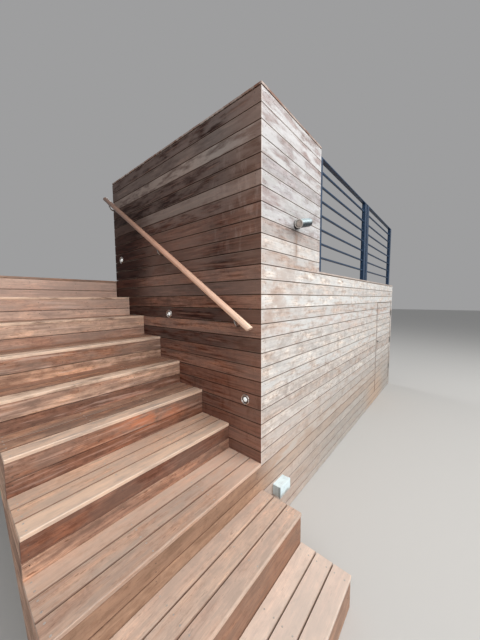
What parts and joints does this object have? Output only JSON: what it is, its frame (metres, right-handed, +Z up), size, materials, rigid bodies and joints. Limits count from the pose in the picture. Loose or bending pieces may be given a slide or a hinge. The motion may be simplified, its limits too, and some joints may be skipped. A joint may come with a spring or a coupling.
{
  "type": "deck stairs",
  "caption": "Timber deck stairs with a boarded L-shaped parapet wall, round handrail, landing, metal bar balustrade, step lights and an under-deck access door",
  "frame": {"origin": "centre of the footprint, on the ground", "axes": "+X runs along the treads from the open side of the stairs toward the far end of the boarded wall, +Y climbs the flight, +Z is up"},
  "size_m": [5.136, 3.591, 2.7782],
  "materials": {
    "tread_wood": "oiled hardwood, worn",
    "riser_wood": "oiled hardwood",
    "weathered_cladding": "sun-bleached hardwood",
    "dark_cladding": "weathered hardwood",
    "frame_timber": "sawn treated softwood",
    "handrail_wood": "smooth oiled",
    "guard_metal": "satin powder coat",
    "fitting_metal": "satin",
    "bracket_metal": "polished",
    "light_metal": "polished",
    "grey_plastic": "moulded, dusty"
  },
  "bodies": {
    "stairs": {"tread_1": "tread_wood", "tread_2": "tread_wood", "tread_3": "tread_wood", "tread_4": "tread_wood", "tread_5": "tread_wood", "tread_6": "tread_wood", "tread_7": "tread_wood", "tread_8": "tread_wood", "tread_9": "tread_wood", "risers_low": "riser_wood", "riser_3": "riser_wood", "risers_high": "riser_wood", "step_side_boards": "riser_wood", "stringers": "frame_timber", "stair_side_cladding": "dark_cladding", "path_cladding_tall": "weathered_cladding", "path_cladding_low": "weathered_cladding", "path_cladding_over_door": "weathered_cladding", "path_cladding_foot": "weathered_cladding", "path_cladding_end": "weathered_cladding", "parapet_inner_boards": "dark_cladding", "tall_cap": "tread_wood", "low_cap": "tread_wood", "wall_plates": "frame_timber", "wall_studs": "frame_timber", "landing_boards": "tread_wood", "deck_boards": "tread_wood", "deck_skirt": "weathered_cladding", "deck_joists": "frame_timber", "deck_rims": "frame_timber", "deck_bearers": "frame_timber", "deck_posts": "frame_timber", "handrail": "handrail_wood", "rail_brackets": "bracket_metal", "balustrade_near_panel": "guard_metal", "balustrade_far_panel": "guard_metal", "balustrade_top_rail": "guard_metal", "step_lights": "light_metal", "wall_spotlight": "fitting_metal", "junction_box": "grey_plastic", "frame_hinge_leaves": "fitting_metal"},
    "access_door": {"door_boards": "weathered_cladding", "door_battens": "frame_timber", "door_knob": "fitting_metal", "door_hinge_leaves": "fitting_metal"}
  },
  "joints": [
    {"name": "access_door_hinge", "type": "hinge", "parent": "stairs", "child": "access_door", "pos_m": [2.47, -1.249, 0.8252], "axis": [0, 0, 1], "range_deg": [0, 100]}
  ]
}
